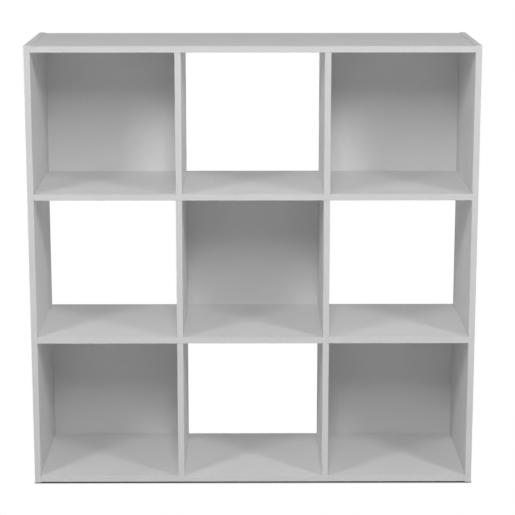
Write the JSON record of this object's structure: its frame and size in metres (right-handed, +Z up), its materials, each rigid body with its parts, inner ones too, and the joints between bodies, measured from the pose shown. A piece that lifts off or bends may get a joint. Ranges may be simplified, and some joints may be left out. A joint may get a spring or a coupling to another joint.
{
  "type": "cube storage unit",
  "caption": "Free-standing open-front grid of cube cells in grey boards, with thin back panels on alternate cells; holds storage boxes or books.",
  "frame": {"origin": "on the floor, at the middle of the unit's whole footprint", "axes": "+X to the right as seen from the front, +Y from the open front to the rear, +Z up"},
  "size_m": [0.911, 0.2936, 0.913],
  "materials": {
    "board": "satin light grey foil on particleboard",
    "edge_band": "matt light grey edge band",
    "back_board": "hardboard, light grey printed front, bare brown rear",
    "dowel_wood": "bare beech",
    "cam_metal": "die-cast zinc",
    "plated_steel": "zinc-plated",
    "nail_steel": "plain bright",
    "glide_plastic": "matt dark moulded"
  },
  "bodies": {
    "root": {"side_panel_left": "board", "side_panel_right": "board", "top_panel": "board", "upper_shelf": "board", "lower_shelf": "board", "bottom_panel": "board", "divider_top_left": "board", "divider_top_right": "board", "divider_middle_left": "board", "divider_middle_right": "board", "divider_bottom_left": "board", "divider_bottom_right": "board", "back_panel_top_left": "back_board", "back_panel_top_right": "back_board", "back_panel_centre": "back_board", "back_panel_bottom_left": "back_board", "back_panel_bottom_right": "back_board", "side_band_left": "edge_band", "side_band_right": "edge_band", "top_panel_band": "edge_band", "upper_shelf_band": "edge_band", "lower_shelf_band": "edge_band", "bottom_panel_band": "edge_band", "divider_band_top_left": "edge_band", "divider_band_top_right": "edge_band", "divider_band_middle_left": "edge_band", "divider_band_middle_right": "edge_band", "divider_band_bottom_left": "edge_band", "divider_band_bottom_right": "edge_band", "side_top_bands": "edge_band", "side_bottom_bands": "edge_band", "cam_discs": "cam_metal", "cam_bolts": "plated_steel", "side_dowels": "dowel_wood", "shelf_dowels": "dowel_wood", "end_dowels": "dowel_wood", "back_panel_nails": "nail_steel", "floor_glides": "glide_plastic", "glide_nails": "plated_steel"}
  },
  "joints": []
}
